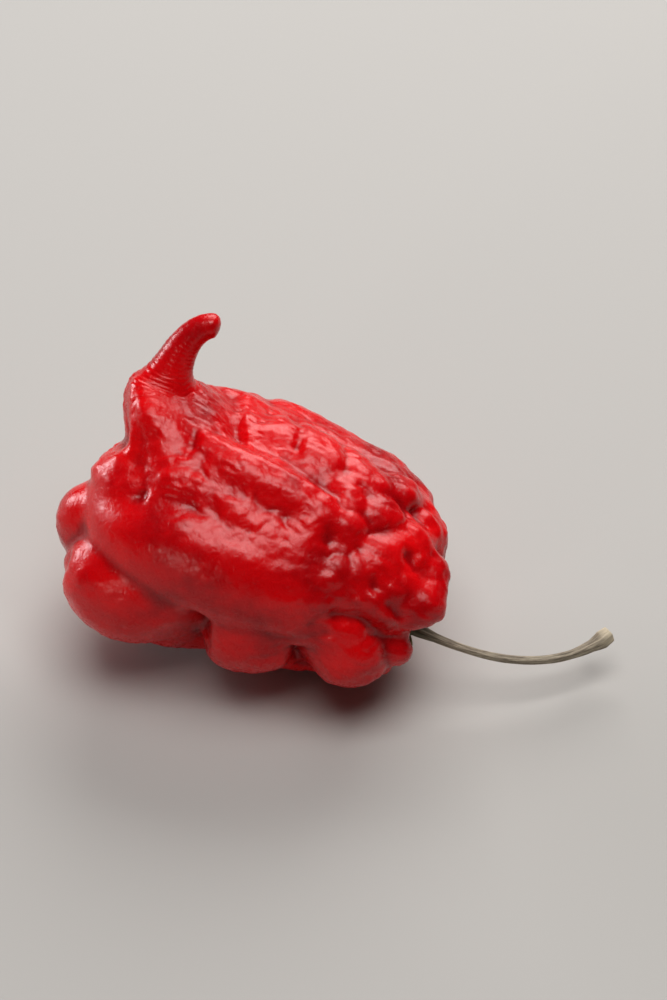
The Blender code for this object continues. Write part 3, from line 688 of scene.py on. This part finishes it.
# Rings are a sine of the distance from row to row, which noise bends and fades. They begin before the
# stinger's root and lose part of their height to its tip. Ringlets are a sine of the distance from the knob,
# within a bell. Streaks run along the pod beside the stinger, a sine of the way round it
def finePatterns(grid):
    rowStep = np.linalg.norm(np.diff(grid, axis=0, prepend=grid[:1]), axis=-1).mean(axis=1)
    distance = np.cumsum(rowStep)[:, None] + fineSkin["ringBend"] * waves(grid / fineSkin["ringBendSize"], 91)
    row = np.arange(len(grid))
    begin, full = [pod["rings"] - before for before in fineSkin["ringRows"]]
    faded = eased(row, pod["rings"] + fineSkin["ringFadeRow"], len(grid))
    share = eased(row, begin, full) * (1 - fineSkin["ringFade"] * faded)
    rings = np.sin(2 * math.pi * distance / fineSkin["ringSpacing"])
    rings = rings * patchy(grid / fineSkin["ringPatchSize"], 95, fineSkin["ringPatch"])
    fromKnob = np.linalg.norm(grid - fineSkin["knob"], axis=-1)
    fromKnob = fromKnob + fineSkin["ringletBend"] * waves(grid / fineSkin["ringletBendSize"], 97)
    bell = np.exp(-(((fromKnob - fineSkin["ringletReach"]) / fineSkin["ringletBreadth"]) ** 2))
    ringlets = np.sin(2 * math.pi * fromKnob / fineSkin["ringletSpacing"]) * bell
    ringlets = ringlets * patchy(grid / fineSkin["ringletPatchSize"], 98, fineSkin["ringletPatch"])
    wayRound = roundAngle(grid) * np.hypot(grid[..., 1], grid[..., 2])
    wayRound = wayRound + fineSkin["streakBend"] * waves(grid / fineSkin["streakBendSize"], 99)
    streaks = np.sin(2 * math.pi * wayRound / fineSkin["streakSpacing"])
    streaks = streaks * plateau(grid[..., 0], fineSkin["streakX"])
    streaks = streaks * plateau(np.degrees(roundAngle(grid)), fineSkin["streakAngle"]) * (1 - onStinger(grid))
    relief = fineSkin["ringHeight"] * rings * share[:, None] + fineSkin["ringletHeight"] * ringlets
    return relief + fineSkin["streakHeight"] * streaks


# Body rings from the pit, then the stinger's. The fine relief is then raised along the normals
def makePod():
    rootReach = podReach(unit(stinger["pole"])[None, :])[0]
    polar = np.linspace(0, math.pi - stinger["rootRadius"] / rootReach, pod["rings"] + 1)[1:]
    directions = ringDirections(polar, turns(pod["sides"]))
    body = directions * podReach(directions)[..., None]
    grid = smoothSeam(np.concatenate([body, tailPoints(body[-1])]), pod["rings"])
    normals = gridNormals(grid)
    bent = grid + fineSkin["warp"] * wander(grid / fineSkin["warpSize"], 61)
    crinkles = softSize(waves(bent / fineSkin["crinkleSize"], 71), wrinkle["creaseRounding"])
    flecks = softSize(waves(bent / fineSkin["fleckSize"], 75), wrinkle["creaseRounding"])
    creased = fineSkin["crinkleHeight"] * (crinkles - fineSkin["mean"])
    creased = creased + fineSkin["fleckHeight"] * (flecks - fineSkin["mean"])
    creased = creased * (1 - wrinkle["smoothSideShare"] * smoothSide(grid))
    grain = fineSkin["grainHeight"] * waves(grid / fineSkin["grainSize"], 81)
    relief = creased * (1 - onStinger(grid)) + grain
    begin, gone = [len(grid) - before for before in fineSkin["tipRows"]]
    relief = (relief + finePatterns(grid)) * (1 - eased(np.arange(len(grid)), begin, gone))[:, None]
    offStem = np.arccos(np.clip(grid[..., 0] / np.linalg.norm(grid, axis=-1), -1, 1)) / pod["pitAngle"]
    grid = grid + normals * (relief * (1 - np.exp(-(offStem**4))))[..., None]
    crease = creaseDepth(grid, gridNormals(grid))
    pit = xAxis * podReach(xAxis[None, :])[0]
    tip = grid[-1].mean(axis=0)
    laid = laidDown(np.concatenate([grid.reshape(-1, 3), [pit, tip]]))
    laid = tuckedIn(laid, "pod", pod["boxSoftness"])
    piece = skinOver("pod_skin", laid[:-2].reshape(grid.shape), laid[-2], laid[-1])
    keepOnPoints(piece, "crease", np.concatenate([crease.ravel(), [0.0, 0.0]]))
    joinTo(piece, "pod", chiliSkin())
    print("pod made, with", len(piece.data.polygons), "faces")


# The calyx is a thin cap in the stem pit, with five blunt teeth and a vein down each
calyx = {
    "angle": 0.15,
    "thickness": 0.9,
    "thinning": 0.5,            # share of the thickness that is lost at the rim
    "teeth": 5,
    "tooth": 0.10,
    "gap": 0.06,
    "veins": 10,
    "veinHeight": 0.08,
    "boxSoftness": 0.08,
    "rings": 34,
    "sides": 160,
    "young": "#5B6B2C",
    "old": "#3C4A1E",
    "rim": "#8C8A58",
    "rimFrom": (0.82, 0.97),    # share of the way out where the rim's colour begins and is full
    "mottleSize": 1.2,          # mm
    "mottleBump": 0.06,         # mm
}


def calyxLeaf():
    material, tree, shader = startMaterial("calyx leaf, matt", {"IOR": 1.42, "Roughness": 0.55})
    place = addNode(tree, "ShaderNodeTexCoord").outputs["Object"]
    mottle = addNode(tree, "ShaderNodeTexNoise", {}, {
        "Vector": place, "Scale": 1 / (calyx["mottleSize"] * mm), "Detail": 3.0})
    greens = addNode(tree, "ShaderNodeMix", {"data_type": "RGBA"}, {
        "Factor": mottle.outputs["Fac"], 6: hexColour(calyx["old"]), 7: hexColour(calyx["young"])})
    rim = addNode(tree, "ShaderNodeAttribute", {"attribute_name": "rim"}).outputs["Fac"]
    edge = mapped(tree, rim, calyx["rimFrom"])
    coloured = addNode(tree, "ShaderNodeMix", {"data_type": "RGBA"}, {
        "Factor": edge, 6: greens.outputs[2], 7: hexColour(calyx["rim"])})
    tree.links.new(coloured.outputs[2], shader.inputs["Base Color"])
    bump = addNode(tree, "ShaderNodeBump", {}, {
        "Height": mottle.outputs["Fac"], "Distance": calyx["mottleBump"] * mm})
    tree.links.new(bump.outputs["Normal"], shader.inputs["Normal"])
    return material


# Directions at an angle from the x axis and round it
def capDirections(polar, around):
    return np.stack([np.cos(polar), np.sin(polar) * np.cos(around), np.sin(polar) * np.sin(around)], axis=-1)


# Underside and top of the calyx: the pod's reach plus the gap, and that plus a thickness that thins by the
# square of the share out to the rim
def calyxSkins(polar, around):
    directions = capDirections(polar, around)
    under = podReach(directions) + calyx["gap"]
    share = np.minimum(polar / calyx["angle"], 1)
    thickness = calyx["thickness"] * (1 - calyx["thinning"] * share**2)
    thickness = thickness + calyx["veinHeight"] * np.cos(calyx["veins"] * around) * share
    return directions * under[..., None], directions * (under + thickness)[..., None]


def makeCalyx():
    around = turns(calyx["sides"])
    reach = calyx["angle"] * (1 + calyx["tooth"] * np.cos(calyx["teeth"] * around))
    share = np.linspace(0, 1, calyx["rings"] + 1)[1:, None]
    polar = share * reach[None, :]
    under, top = calyxSkins(polar, np.broadcast_to(around, polar.shape))
    middleUnder, middleTop = calyxSkins(np.zeros(1), np.zeros(1))
    grid = np.concatenate([under, top[::-1]])
    laid = laidDown(np.concatenate([grid.reshape(-1, 3), middleUnder, middleTop]))
    laid = tuckedIn(laid, "calyx", calyx["boxSoftness"])
    piece = skinOver("calyx_cap", laid[:-2].reshape(grid.shape), laid[-2], laid[-1])
    rim = np.broadcast_to(np.concatenate([share, share[::-1]]), grid.shape[:2])
    keepOnPoints(piece, "rim", np.concatenate([rim.ravel(), [0.0, 0.0]]))
    joinTo(piece, "calyx", calyxLeaf())
    print("calyx made")


# The stem is a five-ribbed tube of dry fibre from a foot on the calyx to a swollen cut end
stem = {
    "footAngle": 0.07,
    "gap": 0.3,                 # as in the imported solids, for its place ahead of the calyx
    "footSink": 0.05,           # how far the foot goes into the calyx
    "path": [(0.0, 0.0, 0.0), (9.0, 0.0, 0.1), (17.8, 4.3, -2.2), (21.6, 12.6, 0.6)],
    "radius": [(0.0, 0.9), (0.04, 0.85), (0.12, 0.56), (0.25, 0.48), (0.5, 0.5), (0.8, 0.56), (0.9, 0.75),
               (0.955, 1.1), (1.0, 1.0)],
    "ribs": 5,
    "ribHeight": 0.07,
    "twist": 1.2,
    "fibres": 0.05,             # height of the fibres in radii
    "fibreSize": np.array([6.0, 0.28, 0.28]),
    "knots": 0.05,              # unevenness of the radius along it
    "knotSize": np.array([2.4, 1.6, 1.6]),
    "boxSoftness": 0.05,
    "rings": 300,
    "sides": 84,
    "cutRings": [(0.97, 0.05), (0.90, 0.06), (0.80, 0.02), (0.66, -0.06), (0.50, -0.12), (0.33, -0.14),
                 (0.16, -0.14)],
    "green": "#565840",
    "tan": "#94897A",
    "pale": "#C4B8A2",
    "brown": "#5A4F42",
    "end": "#E0D2B8",
    "grainSize": 0.22,          # mm, of the fibres' colour
    "grainStretch": (0.12, 1.0, 1.0),
    "grainBump": 0.10,          # mm
    "greenFrom": (0.8, 5.0),    # mm along it where the green begins to fade and is least
    "greenShare": (0.7, 0.06),
    "endFrom": (24.6, 26.2),    # mm along it where the pale end begins and is full
    "endShare": 0.6,
}


def dryStem():
    material, tree, shader = startMaterial("dry pepper stem, fibrous", {"IOR": 1.45, "Roughness": 0.62})
    straight = addNode(tree, "ShaderNodeAttribute", {"attribute_name": "straight"}).outputs["Vector"]
    stretched = addNode(tree, "ShaderNodeMapping", {}, {"Vector": straight, "Scale": stem["grainStretch"]})
    fibre = addNode(tree, "ShaderNodeTexNoise", {}, {
        "Vector": stretched.outputs["Vector"], "Scale": 1 / stem["grainSize"], "Detail": 4.0,
        "Roughness": 0.6})
    stops = addNode(tree, "ShaderNodeValToRGB", {}, {"Fac": fibre.outputs["Fac"]}, [
        (0.28, stem["brown"]), (0.46, stem["tan"]), (0.72, stem["pale"])])
    along = addNode(tree, "ShaderNodeSeparateXYZ", {}, {"Vector": straight}).outputs["X"]
    nearCalyx = mapped(tree, along, stem["greenFrom"], stem["greenShare"])
    coloured = addNode(tree, "ShaderNodeMix", {"data_type": "RGBA"}, {
        "Factor": nearCalyx, 6: stops.outputs["Color"], 7: hexColour(stem["green"])})
    atEnd = mapped(tree, along, stem["endFrom"], (0.0, stem["endShare"]))
    paleEnd = addNode(tree, "ShaderNodeMix", {"data_type": "RGBA"}, {
        "Factor": atEnd, 6: coloured.outputs[2], 7: hexColour(stem["end"])})
    tree.links.new(paleEnd.outputs[2], shader.inputs["Base Color"])
    bump = addNode(tree, "ShaderNodeBump", {}, {
        "Height": fibre.outputs["Fac"], "Distance": stem["grainBump"] * mm})
    tree.links.new(bump.outputs["Normal"], shader.inputs["Normal"])
    return material


# Rings along the path: the radius of the table times one plus ribs, a cosine that twists along, fibres and
# knots. The foot is the calyx's own top, and the cut end is rings that shrink and dip
def makeStem():
    around = turns(stem["sides"])
    footTop = calyxSkins(np.full(stem["sides"], stem["footAngle"]), around)[1]
    footStart = footTop[:, 0].max() + 2 * stem["gap"] + (stem["gap"] - calyx["gap"])
    travel = np.linspace(0, 1, stem["rings"] + 1)
    places, headings = bezier(stem["path"], travel)
    length = np.concatenate([[0], np.cumsum(np.linalg.norm(np.diff(places, axis=0), axis=1))])
    circle = np.stack([0 * around, np.cos(around), np.sin(around)], axis=-1)
    straight = circle[None, :, :] + xAxis * length[:, None, None]
    ribs = stem["ribHeight"] * np.cos(stem["ribs"] * around[None, :] + stem["twist"] * travel[:, None])
    fibres = stem["fibres"] * waves(straight / stem["fibreSize"], 101)
    knots = stem["knots"] * waves(straight / stem["knotSize"], 105)
    radius = np.interp(travel, *zip(*stem["radius"]))[:, None] * (1 + ribs + fibres + knots)
    start = xAxis * footStart
    tube = start + places[:, None, :] + turnedTo(radius[..., None] * circle, xAxis, headings)
    inward, out = np.array(stem["cutRings"]).T
    end = start + places[-1]
    cutEnd = end + (tube[-1] - end) * inward[:, None, None] + headings[-1] * out[:, None, None]
    foot = footTop[None] - stem["footSink"] * xAxis
    grid = np.concatenate([foot, tube, cutEnd])
    straight = np.concatenate([circle[None], straight, np.broadcast_to(straight[-1], cutEnd.shape)])
    shrink = np.concatenate([np.ones(len(grid) - len(inward)), inward])[:, None, None]
    straight = straight * shrink + xAxis * (length[-1] * (1 - shrink))
    footMiddle = foot[0].mean(axis=0)
    endMiddle = end + headings[-1] * out[-1]
    laid = laidDown(np.concatenate([grid.reshape(-1, 3), [footMiddle, endMiddle]]))
    laid = tuckedIn(laid, "stem", stem["boxSoftness"])
    piece = skinOver("stem_stalk", laid[:-2].reshape(grid.shape), laid[-2], laid[-1])
    ends = [[0.0, 0.0, 0.0], [length[-1], 0.0, 0.0]]
    keepOnPoints(piece, "straight", np.concatenate([straight.reshape(-1, 3), ends]))
    joinTo(piece, "stem", dryStem())
    print("stem made")


# A plain pale floor of matt paper, which is not part of the pepper
floor = {"size": 3.0, "colour": "#B8B6B3", "roughness": 0.9}     # size in metres


def makeFloor():
    half = floor["size"] / 2
    mesh = bpy.data.meshes.new("floor")
    corners = [(-half, -half, 0), (half, -half, 0), (half, half, 0), (-half, half, 0)]
    mesh.from_pydata(corners, [], [(0, 1, 2, 3)])
    piece = bpy.data.objects.new("floor", mesh)
    bpy.context.scene.collection.objects.link(piece)
    paper = startMaterial("matt paper", {
        "Base Color": hexColour(floor["colour"]), "Roughness": floor["roughness"]})[0]
    piece.data.materials.append(paper)


# Soft boxes: place and size in metres, power in watts. The back and overhead boxes give the broad highlights,
# the window lights the left side, and a weak one in front fills the lower near side
lights = {
    "back": {"place": (-0.06, 0.40, 0.36), "size": (0.46, 0.34), "power": 2.0, "colour": "#FFFDFB"},
    "overhead": {"place": (0.08, -0.09, 0.62), "size": (0.44, 0.36), "power": 2.4, "colour": "#FFFDFB"},
    "window": {"place": (-0.54, 0.01, 0.12), "size": (0.22, 0.14), "power": 1.0, "colour": "#FAFBFF"},
    "front": {"place": (-0.12, -0.60, 0.14), "size": (0.09, 0.06), "power": 0.24, "colour": "#FFF8F0"},
}
sky = {"colour": "#F2F2F2", "strength": 0.03}


def lookTo(piece, target):
    piece.rotation_mode = "QUATERNION"
    piece.rotation_quaternion = (target - piece.location).to_track_quat("-Z", "Y")


def makeLights():
    for name, light in lights.items():
        lamp = bpy.data.lights.new(name, "AREA")
        lamp.shape = "RECTANGLE"
        lamp.size, lamp.size_y = light["size"]
        lamp.energy = light["power"]
        lamp.color = hexColour(light["colour"])[:3]
        piece = bpy.data.objects.new(name, lamp)
        piece.location = light["place"]
        bpy.context.scene.collection.objects.link(piece)
        lookTo(piece, Vector((0, 0, pod["lift"] * mm)))
    world = bpy.data.worlds.new("soft daylight")
    world.use_nodes = True
    background = world.node_tree.nodes["Background"]
    background.inputs["Color"].default_value = hexColour(sky["colour"])
    background.inputs["Strength"].default_value = sky["strength"]
    bpy.context.scene.world = world


# The camera stands about where the photograph's stood, and a longer lens fills the frame with the pepper.
# azimuth and elevation are the direction that it looks from, and aim is how far right and up of the pod's
# middle, in millimetres as seen, the middle of the frame lies
camera = {"azimuth": 26.4, "elevation": 45.0, "distance": 355.0, "lens": 104.0, "aim": (9.2, 6.0)}


def makeCamera():
    a, e = math.radians(camera["azimuth"]), math.radians(camera["elevation"])
    back = Vector((math.sin(a) * math.cos(e), -math.cos(a) * math.cos(e), math.sin(e)))
    right = Vector((math.cos(a), math.sin(a), 0))
    up = back.cross(right)
    middle = Vector((0, 0, pod["lift"]))
    data = bpy.data.cameras.new("camera")
    data.lens = camera["lens"]
    piece = bpy.data.objects.new("camera", data)
    piece.location = (middle + back * camera["distance"]) * mm
    bpy.context.scene.collection.objects.link(piece)
    lookTo(piece, (middle + right * camera["aim"][0] + up * camera["aim"][1]) * mm)
    bpy.context.scene.camera = piece


makeCamera()
makePod()
makeCalyx()
makeStem()
makeFloor()
makeLights()
bpy.context.scene.view_settings.view_transform = "Standard"
bpy.context.scene.view_settings.look = "Medium High Contrast"
print("floor, lights and camera made")
